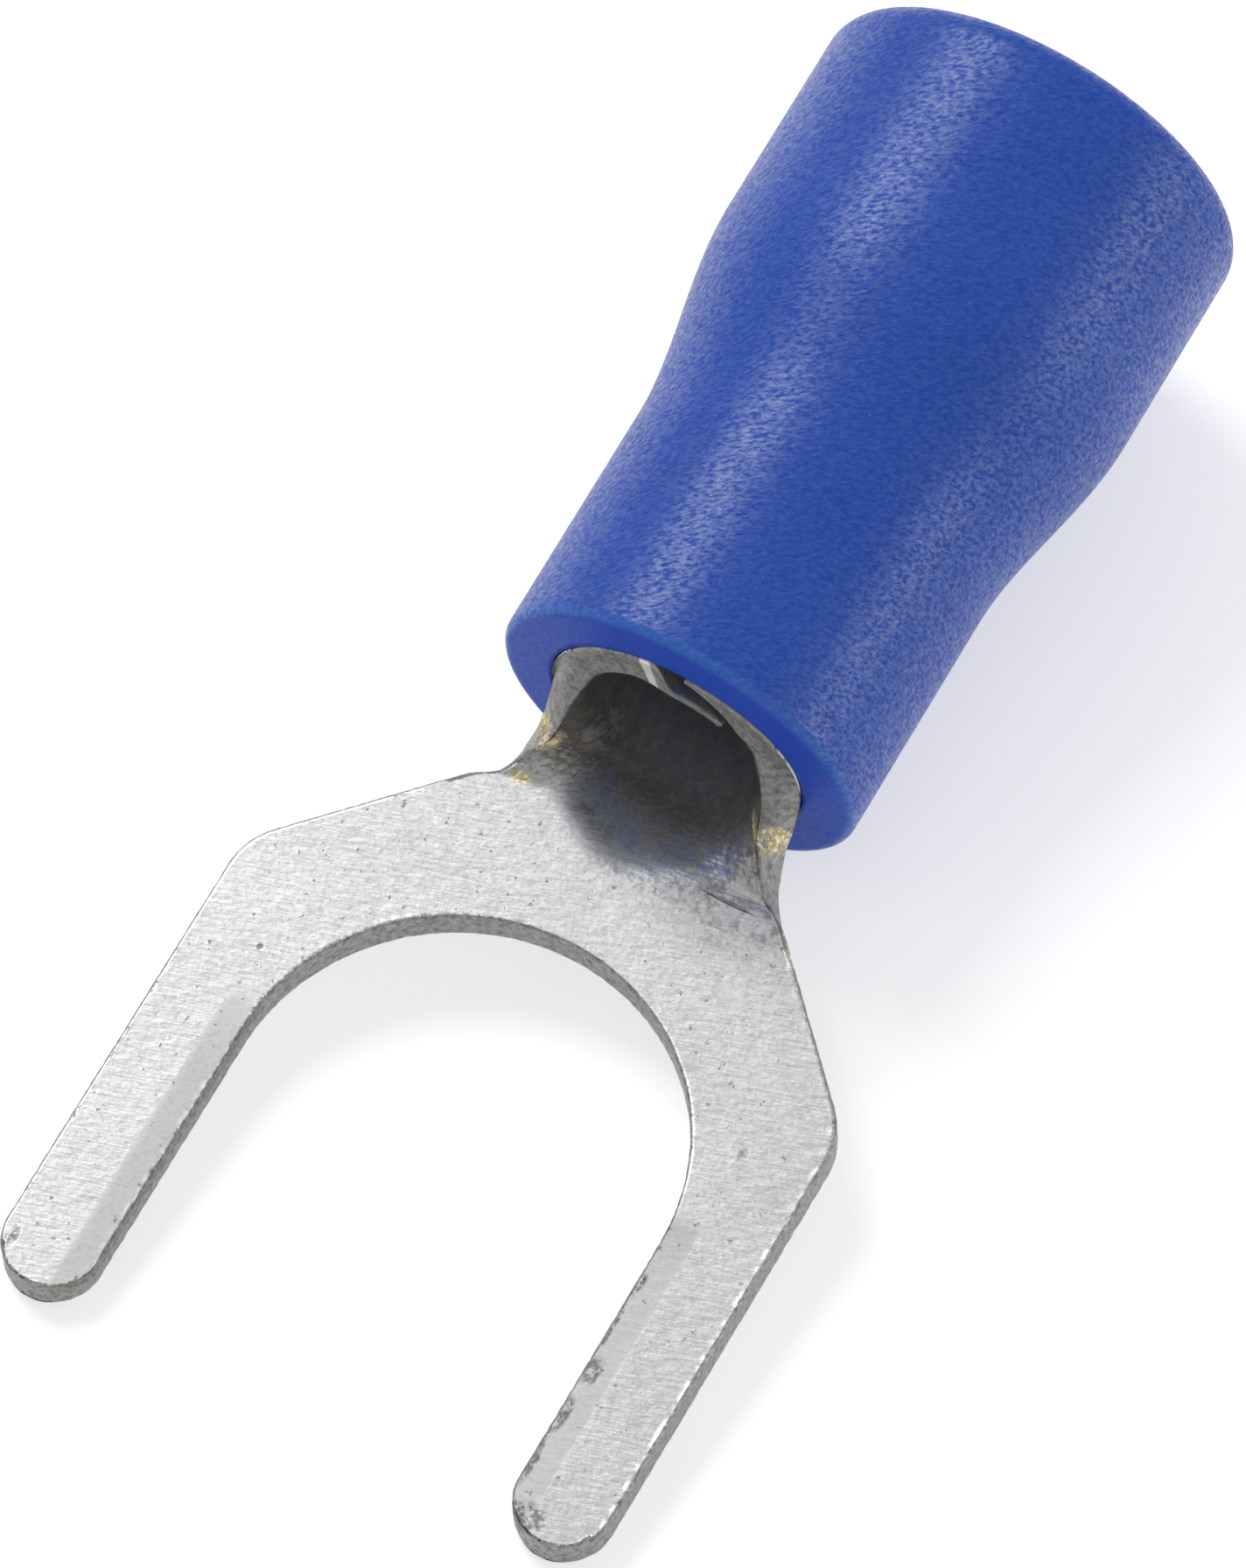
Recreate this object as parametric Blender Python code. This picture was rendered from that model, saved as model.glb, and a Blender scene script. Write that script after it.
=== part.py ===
"""Insulated fork terminal for a crimped wire.

One piece of tin-plated brass sheet is stamped to a flat blank, and its rear flanges are
rolled into a barrel. A moulded PVC sleeve grips the barrel and widens behind it, to take
the wire's insulation.

Metres, +Z up. +X runs along the barrel, from the fork towards the wire. The underside of
the flat tongue lies in z = 0, and the origin is on it, in the web behind the slot.
"""
import math

import bmesh
import bpy
import numpy as np

MM = 0.001

# Sheet
SHEET_THICKNESS = 0.55 * MM
EDGE_BREAK = 0.04 * MM

# Fork, flat, measured from the centre of the slot's round end
SLOT_WIDTH = 6.4 * MM
FORK_WIDTH = 9.2 * MM
TINE_STRAIGHT = 3.8 * MM
SHOULDER_SETBACK = 2.5 * MM
SHOULDER_ANGLE = math.radians(43.7)
SHOULDER_ROUND = 1.1 * MM
WEB_LENGTH = 1.1 * MM
ORIGIN_SETBACK = 0.7 * MM

# Coined lead-in along the upper inner edges of the tines
LEAD_IN_WIDTH = 0.4 * MM
LEAD_IN_TIP_SHARE = 0.4
LEAD_IN_DROP = 0.05 * MM
LEAD_IN_RUNOUT = 0.9 * MM

# Neck, between the shoulders and the barrel
NECK_WIDTH = 3.86 * MM
NECK_ROUND = 0.7 * MM
NECK_LAND = 0.02 * MM
FLANGE_ROOT_LENGTH = 0.64 * MM
FLANGE_ROOT_RISE = 1.7 * MM
CURL_DELAY = 0.7 * MM
LEAST_CURL = 1e-6
TROUGH_WIDTH = 3.8 * MM
TROUGH_ROUND_LENGTH = 1.05 * MM

# Barrel, rolled from the flanges
BARREL_OUTER_RADIUS = 1.9 * MM
BARREL_LENGTH = 5.0 * MM
BARREL_DROP = 0.5 * MM

# Seam on top of the barrel, as angles from the top: one flange ends in a thin lip that
# passes under the feathered end of the other
SEAM_STEP_ANGLE = math.radians(10.0)
SEAM_SLOPE_ANGLE = math.radians(9.0)
LIP_REACH_ANGLE = math.radians(36.0)
LIP_THICKNESS = 0.12 * MM
LIP_SAG = 0.2 * MM
SAG_LEAD_ANGLE = math.radians(18.0)
FEATHER_TIP_ANGLE = math.radians(6.0)
FEATHER_ROOT_ANGLE = math.radians(45.0)
FEATHER_THICKNESS = 0.1 * MM

# Sleeve
SLEEVE_CLEARANCE = 0.03 * MM
BARREL_PROUD = 0.02 * MM
SLEEVE_LENGTH = 10.2 * MM
SLEEVE_WALL = 0.77 * MM
SLEEVE_NARROW_LENGTH = 3.65 * MM
SLEEVE_FLARE_LENGTH = 3.3 * MM
SLEEVE_FLARE_RISE = 0.45 * MM
SLEEVE_MOUTH_RADIUS = 2.35 * MM
SLEEVE_STOP_RISE = 0.4 * MM
SLEEVE_STOP_LENGTH = 0.5 * MM
FUNNEL_LENGTH = 1.6 * MM
FRONT_RIM_ROUND = 0.15 * MM
REAR_RIM_ROUND = 0.4 * MM
MOUTH_RIM_ROUND = 0.2 * MM

# Facets
FACET_ANGLE = math.radians(5.0)
ROUND_STEPS = 8
STRAIGHT_STEPS = 4
RIM_STEPS = 4
SWELL_STEPS = 12
SLEEVE_FACETS = 64
SHARP_ANGLE = math.radians(30.0)
MERGE_DISTANCE = 0.001 * MM

# Derived sizes
SLOT_RADIUS = SLOT_WIDTH / 2
FORK_HALF = FORK_WIDTH / 2
TINE_RADIUS = (FORK_HALF - SLOT_RADIUS) / 2
TINE_MIDDLE = (FORK_HALF + SLOT_RADIUS) / 2
NECK_HALF = NECK_WIDTH / 2
SHOULDER_TANGENT = SHOULDER_ROUND * math.tan(SHOULDER_ANGLE / 2)
NECK_TANGENT = NECK_ROUND * math.tan(SHOULDER_ANGLE / 2)
NECK_CORNER = SHOULDER_SETBACK + (FORK_HALF - NECK_HALF) / math.tan(SHOULDER_ANGLE)
FORM_START = SLOT_RADIUS + WEB_LENGTH
BARREL_START = NECK_CORNER + NECK_TANGENT + NECK_LAND + FLANGE_ROOT_LENGTH
FLANGE_ROOT_HALF = NECK_HALF + FLANGE_ROOT_RISE
BARREL_END = BARREL_START + BARREL_LENGTH
ORIGIN_OFFSET = SLOT_RADIUS + ORIGIN_SETBACK
BARREL_BORE_RADIUS = BARREL_OUTER_RADIUS - SHEET_THICKNESS
BARREL_MEAN_RADIUS = BARREL_OUTER_RADIUS - SHEET_THICKNESS / 2
BARREL_AXIS_HEIGHT = BARREL_OUTER_RADIUS - BARREL_DROP


def smooth_ramp(value, start, end):
    """0 up to start, 1 from end on, and a smooth S between them."""
    share = np.clip((value - start) / (end - start), 0.0, 1.0)
    return share * share * (3.0 - 2.0 * share)


def arc(centre, radius, start, end, steps):
    """Points on an arc in the blank's plane, ends included, by angles from +X."""
    angles = np.linspace(start, end, steps + 1)
    return np.column_stack([centre[0] + radius * np.cos(angles), centre[1] + radius * np.sin(angles)])


def straight(start, end, steps):
    """Points on a straight line, ends included."""
    share = np.linspace(0.0, 1.0, steps + 1)[:, None]
    return (1.0 - share) * np.asarray(start) + share * np.asarray(end)


def chain(*runs):
    """Runs that share their end points, joined into one list of points."""
    return np.vstack([runs[0]] + [run[1:] for run in runs[1:]])


def shoulder_half_width(along):
    """Half the blank's width on the straight slope of a shoulder."""
    return FORK_HALF - (along - SHOULDER_SETBACK) * math.tan(SHOULDER_ANGLE)


def fork_half(side, centre_columns):
    """Grid of the blank from one tine's tip round to the centreline: rows x 3 columns x 2.

    Each row crosses the sheet from the slot's edge, past the lead-in, to the outer edge.
    """
    tip = (-TINE_STRAIGHT, TINE_MIDDLE)
    quarter = math.pi / 2
    inner_tip = arc(tip, TINE_RADIUS, 2 * quarter, 3 * quarter, ROUND_STEPS)
    outer_tip = arc(tip, TINE_RADIUS, 2 * quarter, quarter, ROUND_STEPS)
    inner_tine = straight(inner_tip[-1], (0.0, SLOT_RADIUS), STRAIGHT_STEPS)
    outer_tine = straight(outer_tip[-1], (0.0, FORK_HALF), STRAIGHT_STEPS)

    corner_centre = (SHOULDER_SETBACK - SHOULDER_TANGENT, FORK_HALF - SHOULDER_ROUND)
    corner = arc(corner_centre, SHOULDER_ROUND, quarter, quarter - SHOULDER_ANGLE, ROUND_STEPS)
    cut = (FORM_START, shoulder_half_width(FORM_START))
    round_outer = chain(
        straight((0.0, FORK_HALF), corner[0], STRAIGHT_STEPS),
        corner,
        straight(corner[-1], cut, STRAIGHT_STEPS),
        straight(cut, (FORM_START, 0.0), centre_columns),
    )
    bearing = np.arctan2(round_outer[:, 0], round_outer[:, 1])
    round_inner = SLOT_RADIUS * np.column_stack([np.sin(bearing), np.cos(bearing)])

    inner = chain(inner_tip, inner_tine, round_inner)
    outer = chain(outer_tip, outer_tine, round_outer)
    width = np.linalg.norm(outer - inner, axis=1)
    band = np.minimum(LEAD_IN_WIDTH, LEAD_IN_TIP_SHARE * width)
    band_share = band / np.maximum(width, EDGE_BREAK)
    share = np.column_stack([np.zeros_like(width), band_share, np.ones_like(width)])
    grid = inner[:, None, :] + share[:, :, None] * (outer - inner)[:, None, :]
    return grid * (1.0, side)


def neck_edge():
    """Outline of the blank's edge from the flat web to the flange's front edge.

    The shoulder's slope runs into the neck by a round fillet, and the neck into the flange by
    a quarter of an ellipse.
    """
    start = (FORM_START, shoulder_half_width(FORM_START))
    quarter = math.pi / 2
    centre = (NECK_CORNER + NECK_TANGENT, NECK_HALF + NECK_ROUND)
    fillet = arc(centre, NECK_ROUND, -quarter - SHOULDER_ANGLE, -quarter, ROUND_STEPS)
    turn = np.linspace(0.0, quarter, ROUND_STEPS + 1)
    root_along = BARREL_START - FLANGE_ROOT_LENGTH * (1.0 - np.sin(turn))
    root_across = NECK_HALF + FLANGE_ROOT_RISE * (1.0 - np.cos(turn))
    root = np.column_stack([root_along, root_across])
    return chain(straight(start, fillet[0], STRAIGHT_STEPS), fillet, straight(fillet[-1], root[0], 1), root)


def neck_half(side, centre_columns):
    """Grid of the blank beside the centreline, from the web to the barrel's rear end."""
    edge = np.vstack([neck_edge(), (BARREL_END, FLANGE_ROOT_HALF)])
    share = np.linspace(1.0, 0.0, centre_columns + 1)
    along = np.broadcast_to(edge[:, :1], (len(edge), len(share)))
    across = side * edge[:, 1:] * share
    return np.stack([along, across], axis=-1)


def flange(side):
    """Grid of one flange, from the neck's width out to the seam."""
    root = FLANGE_ROOT_HALF / BARREL_MEAN_RADIUS
    if side > 0:
        step_down = math.pi - SEAM_STEP_ANGLE
        stops = (root, step_down, step_down + SEAM_SLOPE_ANGLE, math.pi + LIP_REACH_ANGLE)
        steps = (FACET_ANGLE, FACET_ANGLE / 2, FACET_ANGLE)
    else:
        stops = (root, math.pi - FEATHER_ROOT_ANGLE, math.pi - FEATHER_TIP_ANGLE)
        steps = (FACET_ANGLE, FACET_ANGLE)
    runs = []
    for start, end, step in zip(stops, stops[1:], steps):
        runs.append(np.linspace(start, end, max(1, round((end - start) / step)) + 1)[:, None])
    across = side * BARREL_MEAN_RADIUS * chain(*runs)[:, 0]
    along = np.array([BARREL_START, BARREL_END])
    return np.stack(np.broadcast_arrays(along[:, None], across), axis=-1)


def add_grid(mesh, grid):
    """Adds the grid's points to the mesh, with a face in each of its cells."""
    rows, columns = grid.shape[:2]
    corners = [[mesh.verts.new((x, y, 0.0)) for x, y in row] for row in grid]
    for i in range(rows - 1):
        for j in range(columns - 1):
            mesh.faces.new((corners[i][j], corners[i + 1][j], corners[i + 1][j + 1], corners[i][j + 1]))


def flat_blank():
    """The stamped blank before it is rolled: a flat plate with broken edges, z = 0 in its middle."""
    mesh = bmesh.new()
    neck_angle = FLANGE_ROOT_HALF / BARREL_MEAN_RADIUS
    centre_columns = max(4, round(neck_angle / FACET_ANGLE))
    for side in (1.0, -1.0):
        add_grid(mesh, fork_half(side, centre_columns))
        add_grid(mesh, neck_half(side, centre_columns))
        add_grid(mesh, flange(side))
    bmesh.ops.remove_doubles(mesh, verts=mesh.verts, dist=MERGE_DISTANCE)
    bmesh.ops.dissolve_degenerate(mesh, dist=MERGE_DISTANCE, edges=mesh.edges)
    bmesh.ops.recalc_face_normals(mesh, faces=mesh.faces)
    bmesh.ops.translate(mesh, verts=mesh.verts, vec=(0.0, 0.0, -SHEET_THICKNESS / 2))
    lower_faces = list(mesh.faces)
    raised = bmesh.ops.extrude_face_region(mesh, geom=lower_faces, use_keep_orig=True)["geom"]
    raised_vertices = [item for item in raised if isinstance(item, bmesh.types.BMVert)]
    bmesh.ops.translate(mesh, verts=raised_vertices, vec=(0.0, 0.0, SHEET_THICKNESS))
    bmesh.ops.recalc_face_normals(mesh, faces=mesh.faces)
    rims = [edge for edge in mesh.edges if edge.is_manifold and is_rim(edge)]
    bmesh.ops.bevel(mesh, geom=rims, offset=EDGE_BREAK, segments=1, affect="EDGES")
    return mesh


def is_rim(edge):
    """True for an edge between a flat side of the plate and its cut wall."""
    lies_flat = [abs(face.normal.z) > abs(face.normal.xy.length) for face in edge.link_faces]
    return lies_flat[0] != lies_flat[1]


def wall_radii(across):
    """Outer and inner radius of the barrel's wall, by the place across the blank."""
    angle = across / BARREL_MEAN_RADIUS
    step = math.pi - SEAM_STEP_ANGLE
    on_slope = smooth_ramp(angle, step, step + SEAM_SLOPE_ANGLE)
    sagging = smooth_ramp(angle, step - SAG_LEAD_ANGLE, step + SEAM_SLOPE_ANGLE)
    inner = BARREL_BORE_RADIUS - LIP_SAG * sagging
    lip_outer = BARREL_BORE_RADIUS - LIP_SAG + LIP_THICKNESS
    outer = BARREL_OUTER_RADIUS + (lip_outer - BARREL_OUTER_RADIUS) * on_slope
    feather_root = math.pi - FEATHER_ROOT_ANGLE
    feather_tip = math.pi - FEATHER_TIP_ANGLE
    feathering = np.clip((-angle - feather_root) / (feather_tip - feather_root), 0.0, 1.0)
    inner = inner + (SHEET_THICKNESS - FEATHER_THICKNESS) * feathering
    return outer, inner


def lead_in_drop(along, across):
    """How far the coined lead-in lowers the sheet's upper side at a place on the blank."""
    from_centre = np.hypot(np.maximum(along, 0.0), across)
    from_slot = np.clip((from_centre - SLOT_RADIUS) / LEAD_IN_WIDTH, 0.0, 1.0)
    fade = 1.0 - smooth_ramp(along, -LEAD_IN_RUNOUT, LEAD_IN_RUNOUT)
    return LEAD_IN_DROP * (1.0 - from_slot) * fade


def middle_surface(along, across):
    """The rolled sheet's middle surface.

    The sheet bends about the X axis with curvature k: y = sin(k w) / k and
    z = (1 - cos(k w)) / k, where w is the place across the blank. k grows from almost 0 at the
    web, where it is kept off 0, to the barrel's own curvature. On the way the floor sinks by
    the barrel's drop: first in the middle and later towards the edges, so that the trough
    starts with a round end, like a spoon.
    """
    curled = smooth_ramp(along, FORM_START + CURL_DELAY, BARREL_START)
    sink_start = FORM_START + TROUGH_ROUND_LENGTH * smooth_ramp(np.abs(across), 0.0, TROUGH_WIDTH / 2)
    sunk = smooth_ramp(along, sink_start, BARREL_START)
    curvature = np.maximum(curled, LEAST_CURL) / BARREL_MEAN_RADIUS
    y = np.sin(curvature * across) / curvature
    rise = 2.0 * np.sin(curvature * across / 2.0) ** 2 / curvature
    z = SHEET_THICKNESS / 2 - BARREL_DROP * sunk + rise
    return np.stack([along, y, z], axis=-1)


def roll(points):
    """Carries points of the flat plate to their place on the rolled terminal."""
    along, across, height = points.T
    outer, inner = wall_radii(across)
    share = height / SHEET_THICKNESS + 0.5
    in_barrel = along > BARREL_START - MERGE_DISTANCE
    barrel_height = BARREL_MEAN_RADIUS - (outer + share * (inner - outer))
    height = np.where(in_barrel, barrel_height, height - share * lead_in_drop(along, across))
    step = MERGE_DISTANCE
    slope_along = middle_surface(along + step, across) - middle_surface(along - step, across)
    slope_across = middle_surface(along, across + step) - middle_surface(along, across - step)
    normal = np.cross(slope_along, slope_across)
    normal /= np.linalg.norm(normal, axis=1, keepdims=True)
    rolled = middle_surface(along, across) + height[:, None] * normal
    return rolled - (ORIGIN_OFFSET, 0.0, 0.0)


def sleeve_profile():
    """Closed section of the sleeve's wall as (x, radius), from the front face round the outside.

    The outside is a narrow cylinder, an S-shaped flare and a wide cylinder. Inside, a pocket
    holds the barrel, a stop keeps it from sliding back, and a funnel guides the wire's strands.
    """
    front = BARREL_START + BARREL_PROUD
    rear = front + SLEEVE_LENGTH
    pocket = BARREL_OUTER_RADIUS + SLEEVE_CLEARANCE
    pocket_end = BARREL_END + SLEEVE_CLEARANCE
    narrow = pocket + SLEEVE_WALL
    wide = narrow + SLEEVE_FLARE_RISE
    stop_radius = pocket - SLEEVE_STOP_RISE
    stop_end = pocket_end + SLEEVE_STOP_LENGTH
    flare_start = front + SLEEVE_NARROW_LENGTH
    flare_x = np.linspace(flare_start, flare_start + SLEEVE_FLARE_LENGTH, SWELL_STEPS + 1)
    flare_radius = narrow + SLEEVE_FLARE_RISE * smooth_ramp(flare_x, flare_x[0], flare_x[-1])
    quarter = math.pi / 2
    front_centre = (front + FRONT_RIM_ROUND, narrow - FRONT_RIM_ROUND)
    front_rim = arc(front_centre, FRONT_RIM_ROUND, 2 * quarter, quarter, RIM_STEPS)
    rear_centre = (rear - REAR_RIM_ROUND, wide - REAR_RIM_ROUND)
    rear_rim = arc(rear_centre, REAR_RIM_ROUND, quarter, 0.0, RIM_STEPS)
    mouth_centre = (rear - MOUTH_RIM_ROUND, SLEEVE_MOUTH_RADIUS + MOUTH_RIM_ROUND)
    mouth_rim = arc(mouth_centre, MOUTH_RIM_ROUND, 0.0, -quarter, RIM_STEPS)
    funnel_x = np.linspace(stop_end + FUNNEL_LENGTH, stop_end, SWELL_STEPS + 1)
    funnel_rise = smooth_ramp(funnel_x, stop_end, stop_end + FUNNEL_LENGTH)
    funnel_radius = stop_radius + (SLEEVE_MOUTH_RADIUS - stop_radius) * funnel_rise
    return np.vstack([
        front_rim,
        np.column_stack([flare_x, flare_radius]),
        rear_rim,
        mouth_rim,
        np.column_stack([funnel_x, funnel_radius]),
        (pocket_end, stop_radius),
        (pocket_end, pocket),
        (front, pocket),
    ])


def revolve(profile, facets):
    """Mesh of a closed (x, radius) section turned about the barrel's axis."""
    mesh = bmesh.new()
    ring = [mesh.verts.new((x - ORIGIN_OFFSET, 0.0, BARREL_AXIS_HEIGHT + radius)) for x, radius in profile]
    edges = [mesh.edges.new(pair) for pair in zip(ring, ring[1:] + ring[:1])]
    bmesh.ops.spin(
        mesh, geom=ring + edges, cent=(0.0, 0.0, BARREL_AXIS_HEIGHT), axis=(1.0, 0.0, 0.0),
        angle=2 * math.pi, steps=facets, use_merge=True, use_duplicate=False,
    )
    bmesh.ops.remove_doubles(mesh, verts=mesh.verts, dist=MERGE_DISTANCE)
    bmesh.ops.recalc_face_normals(mesh, faces=mesh.faces)
    return mesh


def principled(name, colour, metallic, roughness):
    """A plain Principled BSDF material."""
    material = bpy.data.materials.new(name)
    material.use_nodes = True
    shader = material.node_tree.nodes["Principled BSDF"]
    shader.inputs["Base Color"].default_value = (*colour, 1.0)
    shader.inputs["Metallic"].default_value = metallic
    shader.inputs["Roughness"].default_value = roughness
    return material


def add_part(name, mesh, material):
    """Turns a finished bmesh into a named object, smooth apart from its sharp edges."""
    data = bpy.data.meshes.new(name)
    mesh.to_mesh(data)
    mesh.free()
    data.shade_smooth()
    data.set_sharp_from_angle(angle=SHARP_ANGLE)
    data.materials.append(material)
    part = bpy.data.objects.new(name, data)
    bpy.context.scene.collection.objects.link(part)
    return part


def make_terminal_body():
    """The metal terminal: the flat blank, rolled."""
    mesh = flat_blank()
    flat = np.array([vertex.co[:] for vertex in mesh.verts], dtype=float)
    for vertex, place in zip(mesh.verts, roll(flat)):
        vertex.co = place
    mesh.normal_update()
    tin = principled("tin_plated_brass", (0.62, 0.63, 0.61), 1.0, 0.35)
    return add_part("terminal_body", mesh, tin)


def make_insulation_sleeve():
    """The moulded PVC sleeve on the barrel."""
    pvc = principled("blue_pvc", (0.03, 0.09, 0.42), 0.0, 0.45)
    mesh = revolve(sleeve_profile(), SLEEVE_FACETS)
    return add_part("insulation_sleeve", mesh, pvc)


for existing in list(bpy.data.objects):
    bpy.data.objects.remove(existing, do_unlink=True)

make_terminal_body()
make_insulation_sleeve()
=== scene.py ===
"""Looks of the insulated fork terminal: tinned sheet, blue PVC, plain floor and soft light."""
import math

import bpy
import numpy as np
from mathutils import Matrix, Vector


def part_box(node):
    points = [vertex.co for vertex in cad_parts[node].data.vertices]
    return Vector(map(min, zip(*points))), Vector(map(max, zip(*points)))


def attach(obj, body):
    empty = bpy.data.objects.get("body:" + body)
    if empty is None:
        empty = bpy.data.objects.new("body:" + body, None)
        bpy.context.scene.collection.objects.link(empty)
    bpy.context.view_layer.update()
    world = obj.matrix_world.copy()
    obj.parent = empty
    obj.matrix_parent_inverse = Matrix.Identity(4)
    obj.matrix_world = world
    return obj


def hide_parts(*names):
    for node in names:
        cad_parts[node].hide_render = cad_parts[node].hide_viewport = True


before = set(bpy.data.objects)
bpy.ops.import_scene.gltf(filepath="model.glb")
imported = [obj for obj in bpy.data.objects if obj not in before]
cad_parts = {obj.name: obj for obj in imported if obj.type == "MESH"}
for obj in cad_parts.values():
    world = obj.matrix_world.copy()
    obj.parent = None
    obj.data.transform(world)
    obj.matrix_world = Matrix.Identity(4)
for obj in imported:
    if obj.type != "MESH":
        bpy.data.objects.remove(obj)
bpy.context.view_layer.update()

# The terminal: brass sheet 0.55 mm thick, stamped flat, tinned, and rolled into a barrel behind
# the neck. The stamped edges stay rough, with burrs along them, and show brass where the
# shear went through the tin. Lengths are in millimetres up to the finished mesh.
MM = 0.001
body_low, body_high = (np.array(corner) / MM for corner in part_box("terminal_body"))
SHEET = 0.55
SLOT_RADIUS = 3.2
WEB_LENGTH = 1.1
SLOT_TO_ORIGIN = 0.7
TO_ORIGIN = SLOT_RADIUS + SLOT_TO_ORIGIN
FORK_HALF = body_high[1]
TINE_RADIUS = (FORK_HALF - SLOT_RADIUS) / 2
TINE_MIDDLE = (FORK_HALF + SLOT_RADIUS) / 2
TINE_STRAIGHT = -(body_low[0] + TO_ORIGIN) - TINE_RADIUS
SHOULDER_SETBACK = 2.5
SHOULDER_ANGLE = math.radians(43.7)
SHOULDER_ROUND = 1.1
NECK_HALF = 1.93
NECK_ROUND = 0.7
NECK_LAND = 0.02
FLANGE_ROOT_LENGTH = 0.64
FLANGE_ROOT_WIDTH = 1.7
FLANGE_ROOT_HALF = NECK_HALF + FLANGE_ROOT_WIDTH
CURL_DELAY = 0.7
BEND_AVERAGE = 0.6
BEND_TOP = 5.3
BEND_FADE = 0.5
TROUGH_HALF = 1.9
TROUGH_ROUND_LENGTH = 1.05
BARREL_RADIUS = 1.9
BARREL_DROP = 0.5
BORE_RADIUS = BARREL_RADIUS - SHEET
MEAN_RADIUS = BARREL_RADIUS - SHEET / 2
LEAD_IN_WIDTH = 0.4
LEAD_IN_DROP = 0.05
LEAD_IN_RUNOUT = 0.9
LEAD_IN_EDGE = 0.05
SEAM_STEP = math.pi - math.radians(10.0)
SEAM_SLOPE = math.radians(9.0)
SAG_LEAD = math.radians(18.0)
LIP_REACH = math.pi + math.radians(36.0)
LIP_THICKNESS = 0.12
LIP_SAG = 0.2
FEATHER_ROOT = math.pi - math.radians(45.0)
FEATHER_TIP = math.pi - math.radians(6.0)
FEATHER_THICKNESS = 0.1
EDGE_ROUND = 0.045
BURR_HEIGHT = 0.014
BURR_CELL = 0.08
BURR_SHIFT = 30.0
BURR_SEED = 11
BURR_FADE = 0.6
BURR_LEAN = (-0.35, -1.1)
BURR_START = 0.2
SHEAR_DEPTH = 0.012
SHEAR_CELL = 0.35
SHEAR_SHIFT = 20
SHEAR_SEED = 5
SHEAR_ALONG = 3
SHEAR_UP = 8
QUARTER = math.pi / 2
FORM_START = SLOT_RADIUS + WEB_LENGTH
BARREL_END = body_high[0] + TO_ORIGIN
NECK_CORNER = SHOULDER_SETBACK + (FORK_HALF - NECK_HALF) / math.tan(SHOULDER_ANGLE)
NECK_ROUND_END = NECK_CORNER + NECK_ROUND * math.tan(SHOULDER_ANGLE / 2)
BARREL_START = NECK_ROUND_END + NECK_LAND + FLANGE_ROOT_LENGTH

# How finely the sheet is cut up. Where two grids meet, their steps are the same.
TIP_STEPS = 18
TIP_BLUNT = math.radians(3.0)
TINE_STEPS = 110
SIDE_STEPS = 52
CORNER_STEPS = 20
SLOPE_STEPS = 64
ACROSS_STEPS = 24
NECK_COLUMNS = 44
NECK_SLOPE_STEPS = 8
NECK_ROUND_STEPS = 14
FLANGE_ROOT_STEPS = 24
BARREL_STEPS = 30
LIP_COLUMNS = 44
FEATHER_COLUMNS = 24
WALL_STEPS = 6
LATTICE = 64
PARTS = 16
WELD = 1e-4


def smooth_ramp(value, start, end):
    """0 up to start, 1 from end on, and a smooth S, 3t^2 - 2t^3, between them."""
    share = np.clip((value - start) / (end - start), 0.0, 1.0)
    return share * share * (3.0 - 2.0 * share)


def arc(centre, radius, start, end, steps):
    """Points on an arc, ends included: centre + radius times (cos, sin) of the angle."""
    angles = np.linspace(start, end, steps + 1)
    return np.array(centre) + radius * np.column_stack([np.cos(angles), np.sin(angles)])


def straight(start, end, steps):
    """Points on a straight line, ends included: (1 - t) start + t end."""
    share = np.linspace(0.0, 1.0, steps + 1)[:, None]
    return (1.0 - share) * np.array(start) + share * np.array(end)


def chain(*runs):
    """Runs that share their end points, as one run."""
    return np.vstack([runs[0]] + [run[1:] for run in runs[1:]])


def lattice_noise(x, y, cell, seed):
    """Smooth bumps from -1 to 1: random heights on a square lattice, eased between its points."""
    heights = np.random.default_rng(seed).uniform(-1.0, 1.0, (LATTICE, LATTICE))
    column = np.floor(x / cell)
    row = np.floor(y / cell)
    across = smooth_ramp(x / cell - column, 0.0, 1.0)
    up = smooth_ramp(y / cell - row, 0.0, 1.0)
    i = column.astype(int) % LATTICE
    j = row.astype(int) % LATTICE
    next_i = (i + 1) % LATTICE
    next_j = (j + 1) % LATTICE
    near = heights[i, j] * (1.0 - across) + heights[next_i, j] * across
    far = heights[i, next_j] * (1.0 - across) + heights[next_i, next_j] * across
    return near * (1.0 - up) + far * up


def slope_half(along):
    """Half the blank's width on the straight slope of a shoulder, which falls by its tangent."""
    return FORK_HALF - (along - SHOULDER_SETBACK) * math.tan(SHOULDER_ANGLE)


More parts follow.
